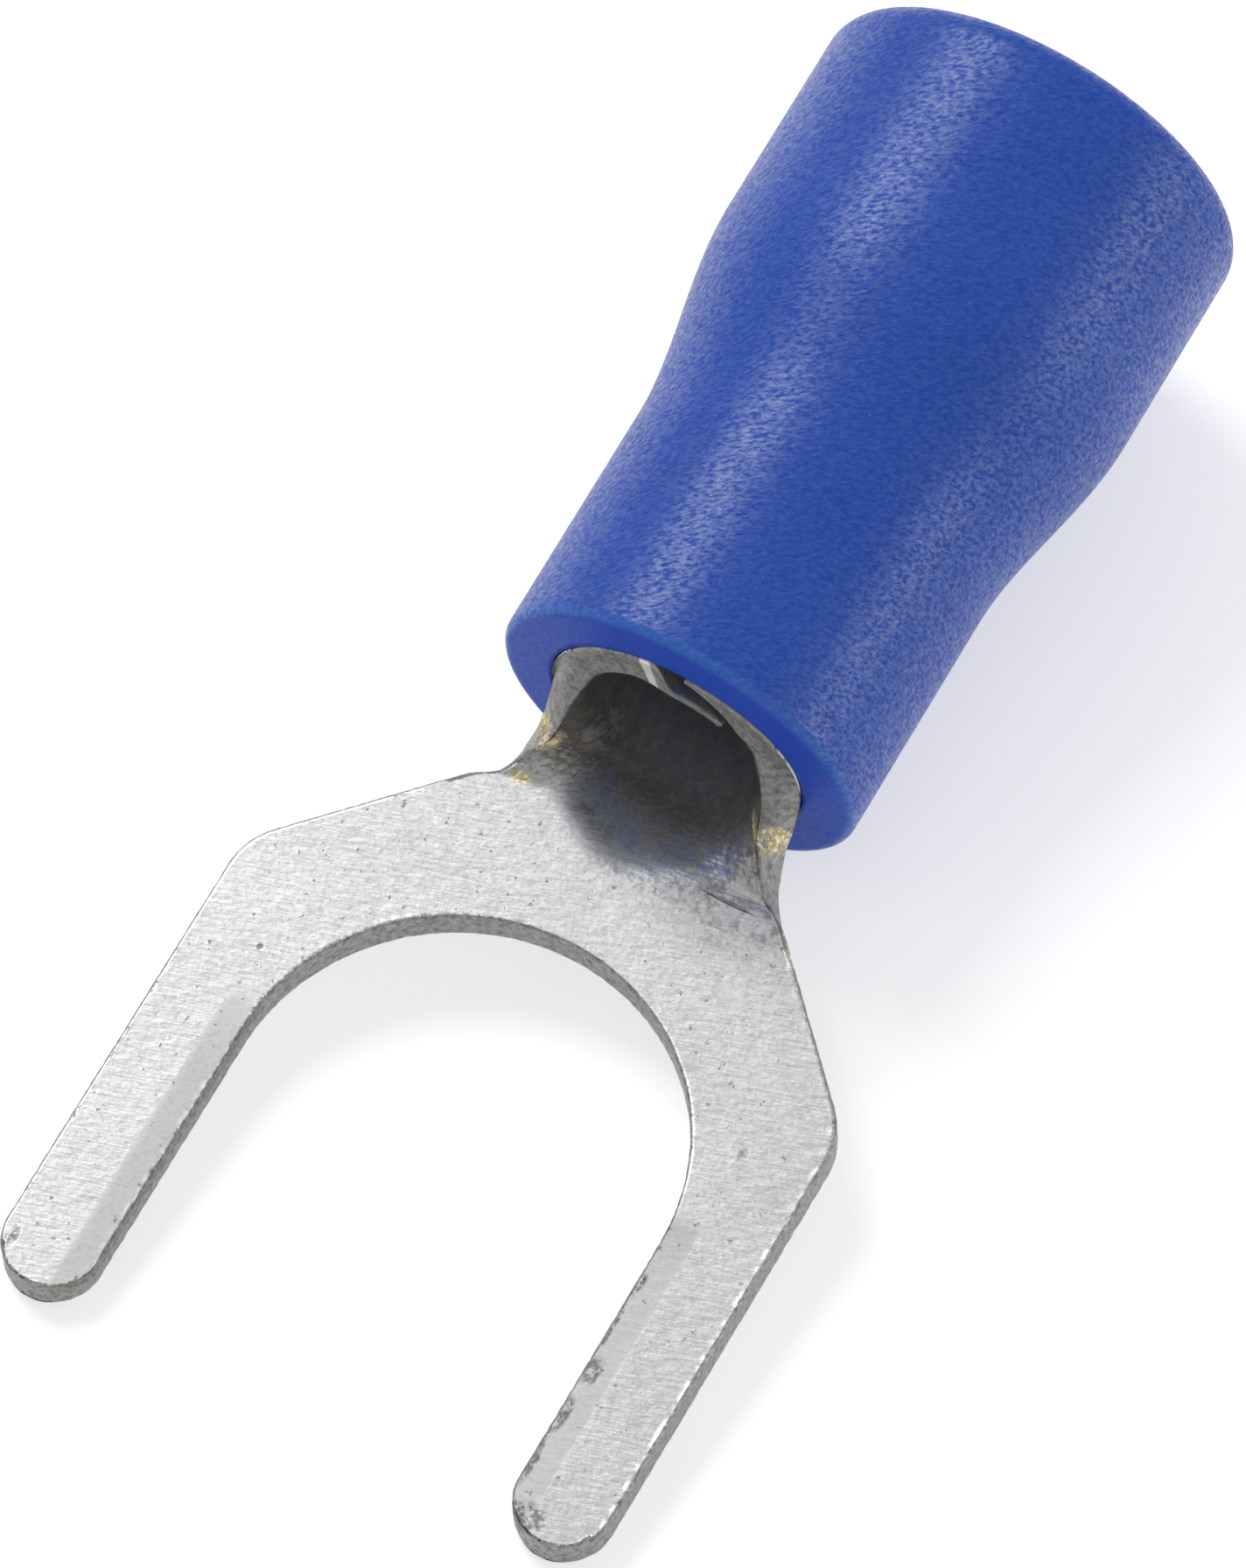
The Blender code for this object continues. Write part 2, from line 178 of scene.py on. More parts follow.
def fork_grid():
    """Half the flat fork, as rows from the tine's tip round the slot to the centreline.

    Row r runs straight from the slot's edge to the outer edge: (1 - t) inner(r) + t outer(r).
    """
    tip = (-TINE_STRAIGHT, TINE_MIDDLE)
    inner_tip = arc(tip, TINE_RADIUS, 2 * QUARTER + TIP_BLUNT, 3 * QUARTER, TIP_STEPS)
    outer_tip = arc(tip, TINE_RADIUS, 2 * QUARTER - TIP_BLUNT, QUARTER, TIP_STEPS)
    inner_tine = straight(inner_tip[-1], (0.0, SLOT_RADIUS), TINE_STEPS)
    outer_tine = straight(outer_tip[-1], (0.0, FORK_HALF), TINE_STEPS)
    tangent = SHOULDER_ROUND * math.tan(SHOULDER_ANGLE / 2)
    centre = (SHOULDER_SETBACK - tangent, FORK_HALF - SHOULDER_ROUND)
    corner = arc(centre, SHOULDER_ROUND, QUARTER, QUARTER - SHOULDER_ANGLE, CORNER_STEPS)
    cut = (FORM_START, slope_half(FORM_START))
    outer_round = chain(
        straight((0.0, FORK_HALF), corner[0], SIDE_STEPS),
        corner,
        straight(corner[-1], cut, SLOPE_STEPS),
        straight(cut, (FORM_START, 0.0), NECK_COLUMNS),
    )
    bearing = np.arctan2(outer_round[:, 0], outer_round[:, 1])
    inner_round = SLOT_RADIUS * np.column_stack([np.sin(bearing), np.cos(bearing)])
    inner = chain(inner_tip, inner_tine, inner_round)
    outer = chain(outer_tip, outer_tine, outer_round)
    share = np.linspace(0.0, 1.0, ACROSS_STEPS + 1)[None, :, None]
    return inner[:, None, :] * (1.0 - share) + outer[:, None, :] * share


def neck_grid():
    """Half the flat neck and barrel floor, as rows across, from the edge to the centreline.

    Row r is straight: (along(r), t half-width(r)), with t from 1 down to 0.
    """
    start = (FORM_START, slope_half(FORM_START))
    centre = (NECK_ROUND_END, NECK_HALF + NECK_ROUND)
    fillet = arc(centre, NECK_ROUND, -QUARTER - SHOULDER_ANGLE, -QUARTER, NECK_ROUND_STEPS)
    turn = np.linspace(0.0, QUARTER, FLANGE_ROOT_STEPS + 1)
    root_along = BARREL_START - FLANGE_ROOT_LENGTH * (1.0 - np.sin(turn))
    root_across = NECK_HALF + (FLANGE_ROOT_HALF - NECK_HALF) * (1.0 - np.cos(turn))
    root = np.column_stack([root_along, root_across])
    barrel = np.column_stack([barrel_rows(), np.full(BARREL_STEPS + 1, FLANGE_ROOT_HALF)])
    slope = straight(start, fillet[0], NECK_SLOPE_STEPS)
    land = straight(fillet[-1], root[0], 1)
    edge = chain(slope, fillet, land, root, barrel)
    share = np.linspace(1.0, 0.0, NECK_COLUMNS + 1)
    along = np.broadcast_to(edge[:, :1], (len(edge), len(share)))
    return np.stack([along, edge[:, 1:] * share], axis=-1)


def barrel_rows():
    """Places along the barrel: close together at its mouth and further apart inside the sleeve.

    They are the start plus the length times (0.4 t + 0.6 t^2.5), with t in even steps.
    """
    share = np.linspace(0.0, 1.0, BARREL_STEPS + 1)
    return BARREL_START + (BARREL_END - BARREL_START) * (0.4 * share + 0.6 * share ** 2.5)


def flange_grid(side):
    """One flat flange, from its root out to the seam: the barrel's rows by even steps across."""
    reach = LIP_REACH if side > 0 else FEATHER_TIP
    columns = LIP_COLUMNS if side > 0 else FEATHER_COLUMNS
    across = np.linspace(FLANGE_ROOT_HALF, reach * MEAN_RADIUS, columns)
    return np.stack(np.meshgrid(barrel_rows(), across, indexing="ij"), axis=-1)


def grid_quads(rows, columns):
    """Corner numbers of a grid's cells."""
    first = (np.arange(rows - 1)[:, None] * columns + np.arange(columns - 1)).ravel()
    return np.column_stack([first, first + columns, first + columns + 1, first + 1])


def weld(grids, distance):
    """Grids joined into one list of points and quads.

    Points that round to the same place, in steps of distance, are made one.
    """
    points = []
    quads = []
    count = 0
    for grid in grids:
        points.append(grid.reshape(-1, grid.shape[-1]))
        quads.append(grid_quads(*grid.shape[:2]) + count)
        count += len(points[-1])
    points = np.vstack(points)
    keys = np.round(points / distance).astype(np.int64)
    kept, renumbered = np.unique(keys, axis=0, return_index=True, return_inverse=True)[1:]
    return points[kept], renumbered.ravel()[np.vstack(quads)]


def face_up(points, quads):
    """The quads, each turned so that its corners run anticlockwise."""
    diagonal = points[quads[:, 2]] - points[quads[:, 0]]
    other = points[quads[:, 3]] - points[quads[:, 1]]
    area = diagonal[:, 0] * other[:, 1] - diagonal[:, 1] * other[:, 0]
    return np.where(area[:, None] < 0.0, quads[:, ::-1], quads)


def open_edges(quads, count):
    """The edges that only one quad has, as (from, to) in the quad's own direction."""
    edges = np.vstack([quads[:, [k, (k + 1) % 4]] for k in range(4)])
    forward = edges[:, 0] * count + edges[:, 1]
    backward = edges[:, 1] * count + edges[:, 0]
    return edges[~np.isin(forward, backward)]


def outward_normals(points, edges):
    """At each point of the outline, the outward normal, mitred where two edges meet.

    It is 2 n / |n|^2, where n is the sum of the two edges' unit normals.
    """
    ahead = points[edges[:, 1]] - points[edges[:, 0]]
    ahead /= np.linalg.norm(ahead, axis=1, keepdims=True)
    sideways = np.column_stack([ahead[:, 1], -ahead[:, 0]])
    normals = np.zeros_like(points)
    np.add.at(normals, edges[:, 0], sideways)
    np.add.at(normals, edges[:, 1], sideways)
    squared = np.maximum(np.sum(normals ** 2, axis=1, keepdims=True), 1e-9)
    return 2.0 * normals / squared


def wall_radii(across):
    """Outer and inner radius of the barrel's wall, by the angle across / mean radius.

    The outer radius drops in a smooth S to the lip's at the seam's step, and the inner one sags
    there. On the other side the inner radius grows in proportion to the angle, to the feather.
    """
    angle = across / MEAN_RADIUS
    on_slope = smooth_ramp(angle, SEAM_STEP, SEAM_STEP + SEAM_SLOPE)
    sagging = smooth_ramp(angle, SEAM_STEP - SAG_LEAD, SEAM_STEP + SEAM_SLOPE)
    lip_outer = BORE_RADIUS - LIP_SAG + LIP_THICKNESS
    outer = BARREL_RADIUS + (lip_outer - BARREL_RADIUS) * on_slope
    feathering = np.clip((-angle - FEATHER_ROOT) / (FEATHER_TIP - FEATHER_ROOT), 0.0, 1.0)
    inner = BORE_RADIUS - LIP_SAG * sagging + (SHEET - FEATHER_THICKNESS) * feathering
    return outer, inner


def middle_surface(along, across):
    """The rolled sheet's middle: y = sin(k w) / k, z = (1 - cos(k w)) / k, less the floor's drop.

    w is the place across the blank, and the curvature k grows from almost 0 at the web to the
    barrel's own. The floor drops in the middle first, which gives the trough a round end.
    """
    curled = smooth_ramp(along, FORM_START + CURL_DELAY, BARREL_START)
    sink_start = FORM_START + TROUGH_ROUND_LENGTH * smooth_ramp(np.abs(across), 0.0, TROUGH_HALF)
    sunk = smooth_ramp(along, sink_start, BARREL_START)
    curvature = np.maximum(curled, 1e-6) / MEAN_RADIUS
    y = np.sin(curvature * across) / curvature
    rise = 2.0 * np.sin(curvature * across / 2.0) ** 2 / curvature
    return np.stack([along, y, SHEET / 2 - BARREL_DROP * sunk + rise], axis=-1)


def roll(sheet):
    """Carries points (along, across, height) of the flat sheet to the rolled terminal.

    A point goes to the middle surface there, plus its height times the surface's normal. The
    normal's slope along the terminal is an average over a short length where the flanges start
    to bend up, so that the sheet isn't pinched there.
    """
    along, across, height = sheet.T
    outer, inner = wall_radii(across)
    share = height / SHEET + 0.5
    from_slot = (np.hypot(np.maximum(along, 0.0), across) - SLOT_RADIUS) / LEAD_IN_WIDTH
    fade = 1.0 - smooth_ramp(along, -LEAD_IN_RUNOUT, LEAD_IN_RUNOUT)
    lead_in = LEAD_IN_DROP * (1.0 - np.clip(from_slot, 0.0, 1.0)) * fade
    in_barrel = MEAN_RADIUS - (outer + share * (inner - outer))
    height = np.where(along > BARREL_START - WELD, in_barrel, height - share * lead_in)
    step = 1e-3
    bend = step + BEND_AVERAGE / 2 * (1.0 - smooth_ramp(along, BEND_TOP, BEND_TOP + BEND_FADE))
    rise_along = middle_surface(along + bend, across) - middle_surface(along - bend, across)
    slope_along = rise_along * (step / bend)[:, None]
    slope_across = middle_surface(along, across + step) - middle_surface(along, across - step)
    normal = np.cross(slope_along, slope_across)
    normal /= np.linalg.norm(normal, axis=1, keepdims=True)
    return middle_surface(along, across) + height[:, None] * normal - (TO_ORIGIN, 0.0, 0.0)


def make_mesh(name, points, faces, attributes):
    """A smooth mesh object from points in millimetres, with values kept at its points."""
    mesh = bpy.data.meshes.new(name)
    mesh.from_pydata((points * MM).tolist(), [], faces.tolist())
    for label, values in attributes.items():
        kind = "FLOAT" if values.ndim == 1 else "FLOAT_VECTOR"
        layer = mesh.attributes.new(label, kind, "POINT")
        key = "value" if values.ndim == 1 else "vector"
        layer.data.foreach_set(key, values.astype(np.float32).ravel())
    mesh.shade_smooth()
    piece = bpy.data.objects.new(name, mesh)
    bpy.context.scene.collection.objects.link(piece)
    return piece


half_fork = fork_grid()
half_neck = neck_grid()
flip = np.array((1.0, -1.0))
flat_grids = [
    half_fork, half_fork * flip,
    half_neck, half_neck * flip,
    flange_grid(1.0), flange_grid(-1.0) * flip,
]
flat, quads = weld(flat_grids, WELD)
quads = face_up(flat, quads)
rim = open_edges(quads, len(flat))
outward = outward_normals(flat, rim)
rim_points = np.unique(rim)
rank = np.zeros(len(flat), dtype=int)
rank[rim_points] = np.arange(len(rim_points))

# How far each point of the blank is from its outline, in a few parts to save memory.
to_edge = np.empty(len(flat))
for part in np.array_split(np.arange(len(flat)), PARTS):
    gaps = flat[part][:, None, :] - flat[rim_points][None, :, :]
    to_edge[part] = np.sqrt(np.min(np.sum(gaps ** 2, axis=2), axis=1))

# Profile of the cut wall from the upper face to the lower one, as (inset, height).
turn = np.radians([0.0, 30.0, 60.0, 90.0])
upper_inset = EDGE_ROUND * (1.0 - np.sin(turn))
upper_height = SHEET / 2 - EDGE_ROUND * (1.0 - np.cos(turn))
upper = np.column_stack([upper_inset, upper_height])
plain = straight(upper[-1], (0.0, EDGE_ROUND - SHEET / 2), WALL_STEPS)
lower = upper[::-1] * (1.0, -1.0)
wall_profile = chain(upper, plain, lower)

# The punch left burrs on the edges of the fork that face one way.
inset = np.zeros(len(flat))
inset[rim_points] = EDGE_ROUND
face_plane = flat - outward * inset[:, None]
leaning = BURR_LEAN[0] * outward[:, 0] + BURR_LEAN[1] * outward[:, 1]
burr_side = np.clip(leaning - BURR_START, 0.0, 1.0)
burr_side *= 1.0 - smooth_ramp(flat[:, 0], FORM_START, FORM_START + BURR_FADE)
shifted = flat + BURR_SHIFT
ragged = lattice_noise(shifted[:, 0], shifted[:, 1], BURR_CELL, BURR_SEED)
ragged = np.clip(ragged, 0.0, 1.0)
burr_side *= inset > 0.0
burr = BURR_HEIGHT * burr_side * ragged
layers = [np.column_stack([face_plane, SHEET / 2 + burr])]
layers.append(np.column_stack([face_plane, np.full(len(flat), -SHEET / 2)]))
layer_start = [0]
count = 2 * len(flat)
for depth, height in wall_profile[1:-1]:
    ring = flat[rim_points]
    torn_x = ring[:, 0] * SHEAR_ALONG + SHEAR_SHIFT
    torn_y = ring[:, 1] * SHEAR_ALONG + height * SHEAR_UP + SHEAR_SHIFT
    rough = SHEAR_DEPTH * lattice_noise(torn_x, torn_y, SHEAR_CELL, SHEAR_SEED)
    place = ring - outward[rim_points] * (depth + np.abs(rough))[:, None]
    layers.append(np.column_stack([place, np.full(len(ring), height)]))
    layer_start.append(count)
    count += len(ring)
layer_start.append(len(flat))
sheet = np.vstack(layers)


def layer_index(layer, which):
    """Point numbers of the rim's points in a layer of the wall."""
    if layer == 0 or layer == len(layer_start) - 1:
        return which + layer_start[layer]
    return rank[which] + layer_start[layer]


walls = []
edge_from = rim[:, 0]
edge_to = rim[:, 1]
for layer in range(len(layer_start) - 1):
    walls.append(np.column_stack([
        layer_index(layer, edge_to),
        layer_index(layer, edge_from),
        layer_index(layer + 1, edge_from),
        layer_index(layer + 1, edge_to),
    ]))
faces = np.vstack([quads, quads[:, ::-1] + len(flat)] + walls)
in_wall = np.zeros(len(sheet))
in_wall[2 * len(flat):] = 1.0
edge_gap = np.zeros(len(sheet))
edge_gap[:len(flat)] = to_edge
edge_gap[len(flat):2 * len(flat)] = to_edge
from_slot = np.hypot(np.maximum(sheet[:, 0], 0.0), sheet[:, 1]) - SLOT_RADIUS
runout = 1.0 - smooth_ramp(sheet[:, 0], -LEAD_IN_RUNOUT, LEAD_IN_RUNOUT)
on_lead_in = np.clip((LEAD_IN_WIDTH + LEAD_IN_EDGE - from_slot) / LEAD_IN_EDGE, 0.0, 1.0)
on_lead_in *= np.minimum(4.0 * runout, 1.0)
burred_rim = np.zeros(len(sheet))
burred_rim[:len(flat)] = burr_side
terminal = make_mesh("tinned_terminal", roll(sheet), faces, {
    "sheet": sheet,
    "wall": in_wall,
    "edge_gap": edge_gap,
    "burr": burred_rim,
    "lead_in": on_lead_in * (sheet[:, 2] > 0.0),
})


class Wire:
    """An output socket of a material's node. Arithmetic on wires and numbers adds Math nodes."""

    def __init__(self, socket):
        self.socket = socket

    def add(self, kind, settings, values, output=0):
        """A new node beside this one: its settings first, then its sockets' values or links."""
        tree = self.socket.id_data
        node = tree.nodes.new(kind)
        for name, value in settings.items():
            setattr(node, name, value)
        for name, value in values.items():
            if isinstance(value, Wire):
                tree.links.new(value.socket, node.inputs[name])
            else:
                node.inputs[name].default_value = value
        return Wire(node.outputs[output])

    def math(self, operation, *values):
        """A Math node of this operation on the values."""
        return self.add("ShaderNodeMath", {"operation": operation}, dict(enumerate(values)))

    def __add__(self, other):
        return self.math("ADD", self, other)

    def __radd__(self, other):
        return self.math("ADD", other, self)

    def __sub__(self, other):
        return self.math("SUBTRACT", self, other)

    def __rsub__(self, other):
        return self.math("SUBTRACT", other, self)

    def __mul__(self, other):
        return self.math("MULTIPLY", self, other)

    def __rmul__(self, other):
        return self.math("MULTIPLY", other, self)

    def ramp(self, start, end):
        """0 where the wire is at start, 1 where it is at end, straight between and held beyond."""
        return self.add("ShaderNodeMapRange", {"clamp": True}, {
            "Value": self, "From Min": start, "From Max": end,
        })

    def mix(self, below, above):
        """The colour below where the wire is 0 and above where it is 1."""
        values = {0: self}
        for key, colour in ((6, below), (7, above)):
            values[key] = colour if isinstance(colour, Wire) else (*colour, 1.0)
        return self.add("ShaderNodeMix", {"data_type": "RGBA"}, values, output=2)

    def noise(self, scale, detail=2.0, roughness=0.5, distortion=0.0):
        """Noise of a vector wire, 0 to 1, with this many lumps in each unit of it."""
        return self.add("ShaderNodeTexNoise", {}, {
            "Vector": self, "Scale": scale, "Detail": detail, "Roughness": roughness,
            "Distortion": distortion,
        })

    def in_lumps(self, size, turn=0.0):
        """The vector wire measured in lumps of this size, whose first axis is turned about Z."""
        return self.add("ShaderNodeMapping", {"vector_type": "TEXTURE"}, {
            "Vector": self, "Scale": size, "Rotation": (0.0, 0.0, turn),
        })

    def near(self, centre, size):
        """1 round a centre and 0 outside an ellipse of this size, for a vector wire."""
        from_centre = self.add("ShaderNodeMapping", {"vector_type": "TEXTURE"}, {
            "Vector": self, "Location": (*centre, 0.0), "Scale": (*size, 1000.0),
        })
        length = self.add(
            "ShaderNodeVectorMath", {"operation": "LENGTH"}, {0: from_centre}, output=1,
        )
        return length.ramp(1.0, 0.6)

    def part(self, axis):
        """One component of a vector wire."""
        return self.add("ShaderNodeSeparateXYZ", {}, {"Vector": self}, output="XYZ".index(axis))


def new_material(name):
    """A material with a Principled BSDF, and a wire to start its nodes from."""
    material = bpy.data.materials.new(name)
    material.use_nodes = True
    shader = material.node_tree.nodes["Principled BSDF"]
    return material, shader, Wire(shader.outputs[0])


def feed(wire, socket):
    """Links a wire to a shader's socket."""
    socket.id_data.links.new(wire.socket, socket)


tin, tin_shader, tin_start = new_material("tinned_brass")
on_sheet = tin_start.add("ShaderNodeAttribute", {"attribute_name": "sheet"}, {}, output=1)
wall = tin_start.add("ShaderNodeAttribute", {"attribute_name": "wall"}, {}, output=2)
edge = tin_start.add("ShaderNodeAttribute", {"attribute_name": "edge_gap"}, {}, output=2)
burr_line = tin_start.add("ShaderNodeAttribute", {"attribute_name": "burr"}, {}, output=2)
bevelled = tin_start.add("ShaderNodeAttribute", {"attribute_name": "lead_in"}, {}, output=2)
along_sheet = on_sheet.part("X")
across_sheet = on_sheet.part("Y")
upper_side = on_sheet.part("Z").ramp(-0.05, 0.05)

# Tin: satin and clouded, with fine rolling marks across the fork, small pits and nicked edges.
# Places are (along, across) on the flat blank, each with the half axes of the mark.
GRAIN_TURN = math.radians(-74.6)
GRAIN_LUMP = (0.35, 0.045, 0.3)
DENT_LUMP = (0.26, 0.13, 0.3)
TIN_DULL = (0.505, 0.515, 0.505)
TIN_BRIGHT = (0.585, 0.595, 0.585)
# Lead-in bevel colours: a plain tone at -Y and painted light at +Y.
LEAD_IN_PLAIN_TONE = (0.57, 0.58, 0.56)
LEAD_IN_PAINTED_LIGHT = (0.74, 0.75, 0.74)
ROLLING_STREAK = (0.77, 0.78, 0.77)
SPECKLE_GREY = (0.38, 0.38, 0.37)
PIT_GREY = (0.26, 0.26, 0.25)
SCUFF_GREY = (0.20, 0.20, 0.19)
SMUDGE_GREY = (0.17, 0.17, 0.17)
EDGE_NICK_GREY = (0.13, 0.13, 0.12)
NICK_GREY = (0.12, 0.12, 0.11)
SCUFF_PLACE = ((4.75, -1.62), (0.035, 0.42))
SMUDGE_PLACE = ((4.9, -1.75), (1.0, 1.2))
SHALLOW_DENT_PLACE = ((1.62, -3.58), (0.12, 0.08))
NICK_PLACES = (
    ((-0.62, -3.24), (0.22, 0.11)), ((-2.04, -3.33), (0.25, 0.16)), ((-2.75, -3.28), (0.32, 0.12)),
    ((-1.30, -3.24), (0.45, 0.06)), ((-4.28, -3.60), (0.26, 0.32)), ((-3.55, -3.26), (0.4, 0.08)),
    ((0.30, 4.58), (0.12, 0.06)), ((-0.03, 4.58), (0.14, 0.07)), ((-1.10, 4.57), (0.10, 0.06)),
    ((-2.14, 4.57), (0.12, 0.06)), ((-4.03, 4.36), (0.18, 0.07)), ((1.20, 3.59), (0.06, 0.06)),
)
cloudy = on_sheet.noise(0.8, 3.0)
grain = on_sheet.in_lumps(GRAIN_LUMP, GRAIN_TURN).noise(1.0, 3.0, 0.65)
dents = on_sheet.in_lumps(DENT_LUMP, GRAIN_TURN).noise(1.0, 2.0, 0.5)
speckle = on_sheet.noise(14.0, 2.0, 0.7)
pits = on_sheet.noise(8.0, 3.0, 0.6).ramp(0.67, 0.73) * along_sheet.ramp(4.9, 4.5)
shade = cloudy.ramp(0.25, 0.75).mix(TIN_DULL, TIN_BRIGHT)
# Painted light: the lead-in bevel on the tine at +Y is painted lighter than the one at -Y.
bevel_painted_light = across_sheet.ramp(-0.5, 0.5).mix(LEAD_IN_PLAIN_TONE, LEAD_IN_PAINTED_LIGHT)
shade = (bevelled * 0.9).mix(shade, bevel_painted_light)
shade = (grain.ramp(0.42, 0.62) * 0.4).mix(shade, ROLLING_STREAK)
shade = (speckle.ramp(0.48, 0.70) * (0.50 - bevelled * 0.3)).mix(shade, SPECKLE_GREY)
shade = (pits * 0.5).mix(shade, PIT_GREY)
scuffs = on_sheet.near(*SCUFF_PLACE)
shade = (scuffs * 0.7).mix(shade, SCUFF_GREY)
smudge = on_sheet.noise(5.0, 5.0, 0.75).ramp(0.50, 0.62) * on_sheet.near(*SMUDGE_PLACE)
shade = (smudge * 0.65).mix(shade, SMUDGE_GREY)
nicked = on_sheet.noise(3.2, 4.0, 0.75).ramp(0.57, 0.62) * edge.ramp(0.10, 0.03)
shade = (nicked * 0.75).mix(shade, EDGE_NICK_GREY)
# Painted glints: white specks along the burred edges.
painted_burr_glints = on_sheet.noise(15.0, 2.0, 0.6).ramp(0.51, 0.57) * burr_line.ramp(0.03, 0.3)
painted_burr_glints = painted_burr_glints * on_sheet.noise(2.2, 3.0, 0.6).ramp(0.38, 0.50)
nicks = on_sheet.near(*SHALLOW_DENT_PLACE) * 0.5
for centre, size in NICK_PLACES:
    nicks = nicks.math("MAXIMUM", nicks, on_sheet.near(centre, size))
broken_up = on_sheet.noise(7.0, 4.0, 0.8).ramp(0.40, 0.56)
shade = (nicks * broken_up * 0.8).mix(shade, NICK_GREY)

# The trough and the barrel's inside are painted dark as painted shade, with a painted blue
# reflection towards the fork. The painted shade starts in a curve: further along at the sides
# than in the middle.
TROUGH_SHADE_START = 4.40
TROUGH_SHADE_ASIDE = 0.25
TROUGH_SHADE_CURVE = 0.36
TROUGH_SHADE_SIDE = 2.1
TROUGH_SHADE_BLUISH = (0.150, 0.165, 0.195)
TROUGH_SHADE_BROWN = (0.130, 0.112, 0.090)
TROUGH_SHADE_PALE = (0.300, 0.285, 0.250)
SLEEVE_BLUE_REFLECTION = (0.13, 0.21, 0.52)
PALE_PATCH_PLACE = ((6.2, 1.55), (0.35, 0.4))
from_middle = across_sheet + TROUGH_SHADE_ASIDE
squared = from_middle * from_middle
rim_rise = squared.math("MINIMUM", squared, TROUGH_SHADE_SIDE) * TROUGH_SHADE_CURVE
steep = squared.ramp(0.3, 1.7)
blotches = on_sheet.noise(5.0, 5.0, 0.8) - 0.5
into_trough = (along_sheet - TROUGH_SHADE_START - rim_rise) + (dents - 0.5) * 0.4 + (speckle - 0.5) * 1.3
# Painted shade: how dark the trough is painted, place by place; it also makes it less metallic and
# rougher.
trough_shade = into_trough * (steep * 0.8 + 0.9) + (grain - 0.5) * 1.6 + blotches * 1.5
trough_shade = trough_shade.ramp(0.0, 1.0) * upper_side
pale_patch = on_sheet.near(*PALE_PATCH_PLACE) * on_sheet.noise(5.0, 3.0, 0.7).ramp(0.45, 0.62)
trough_shade = trough_shade * (1.0 - pale_patch * 0.6)
trough_shade_colour = into_trough.ramp(1.9, 0.7).mix(TROUGH_SHADE_BLUISH, TROUGH_SHADE_BROWN)
trough_shade_colour = (blotches.ramp(-0.05, 0.15) * 0.6).mix(trough_shade_colour, TROUGH_SHADE_PALE)
shade = trough_shade.mix(shade, trough_shade_colour)
# Painted reflection: blue streaks in the trough towards the fork.
painted_blue_reflection = into_trough.ramp(0.0, 0.3) * into_trough.ramp(1.1, 0.5)
painted_blue_reflection = painted_blue_reflection * squared.ramp(2.6, 1.4) * upper_side
painted_blue_reflection = painted_blue_reflection * grain.ramp(0.40, 0.58) * speckle.ramp(0.64, 0.44)
shade = (painted_blue_reflection * 0.75).mix(shade, SLEEVE_BLUE_REFLECTION)

# Cut edges: grey and mottled, with painted glints on the burrs and a painted highlight by the
# seam.
# Brass is bared where the shear tore them, in four places near the neck, with painted highlights
# on the brass.
SHEAR_DARK = (0.18, 0.18, 0.17)
SHEAR_PALE = (0.42, 0.42, 0.40)
MOTTLE_LUMP = (0.10, 0.10, 0.10)
BURR_PAINTED_GLINT = (0.97, 0.97, 0.96)
SEAM_PAINTED_HIGHLIGHT = (0.95, 0.95, 0.93)
SEAM_HIGHLIGHT_PLACE = ((6.23, 4.74), (0.10, 0.09))
BRASS_DARK = (0.52, 0.42, 0.18)
BRASS_PAINTED_HIGHLIGHT = (0.97, 0.90, 0.62)
BRASS_WALL_PLACE = ((4.50, -2.68), (0.45, 0.34))
BRASS_PLACES = (
    ((5.70, 1.96), (0.20, 0.25)),
    ((5.12, 1.78), (0.16, 0.20)),
    ((5.80, -1.98), (0.30, 0.14)),
)
mottle = on_sheet.in_lumps(MOTTLE_LUMP).noise(1.0, 4.0, 0.75).ramp(0.36, 0.60)
shade = wall.mix(shade, mottle.mix(SHEAR_DARK, SHEAR_PALE))
shade = (painted_burr_glints * 0.9).mix(shade, BURR_PAINTED_GLINT)
# Painted highlight: a white spot by the seam.
shade = on_sheet.near(*SEAM_HIGHLIGHT_PLACE).mix(shade, SEAM_PAINTED_HIGHLIGHT)
brass = on_sheet.near(*BRASS_WALL_PLACE) * wall
for centre, size in BRASS_PLACES:
    brass = brass.math("MAXIMUM", brass, on_sheet.near(centre, size))
brass = brass * on_sheet.noise(6.0, 4.0, 0.8).ramp(0.42, 0.52)
# The bared brass runs from its own dark tone to a painted whitish highlight.
shade = brass.mix(shade, speckle.ramp(0.42, 0.60).mix(BRASS_DARK, BRASS_PAINTED_HIGHLIGHT))
feed(shade, tin_shader.inputs["Base Color"])
feed(1.0 - trough_shade * 0.8 - wall * (1.0 - trough_shade) * 0.35, tin_shader.inputs["Metallic"])
roughness = grain * 0.10 + 0.34 + pits * 0.2 + wall * 0.12 + trough_shade * 0.15 + bevelled * 0.28
feed(roughness, tin_shader.inputs["Roughness"])
relief = grain * 0.34 + dents * 0.42 - pits * 0.6 + speckle * 0.14 - scuffs * 0.8 - nicks * 0.2
RELIEF_DEPTH = 0.02
bump = tin_start.add("ShaderNodeBump", {}, {
    "Height": relief, "Strength": 0.6, "Distance": RELIEF_DEPTH * MM,
})
feed(bump, tin_shader.inputs["Normal"])
terminal.data.materials.append(tin)
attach(terminal, "root")
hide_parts("terminal_body")

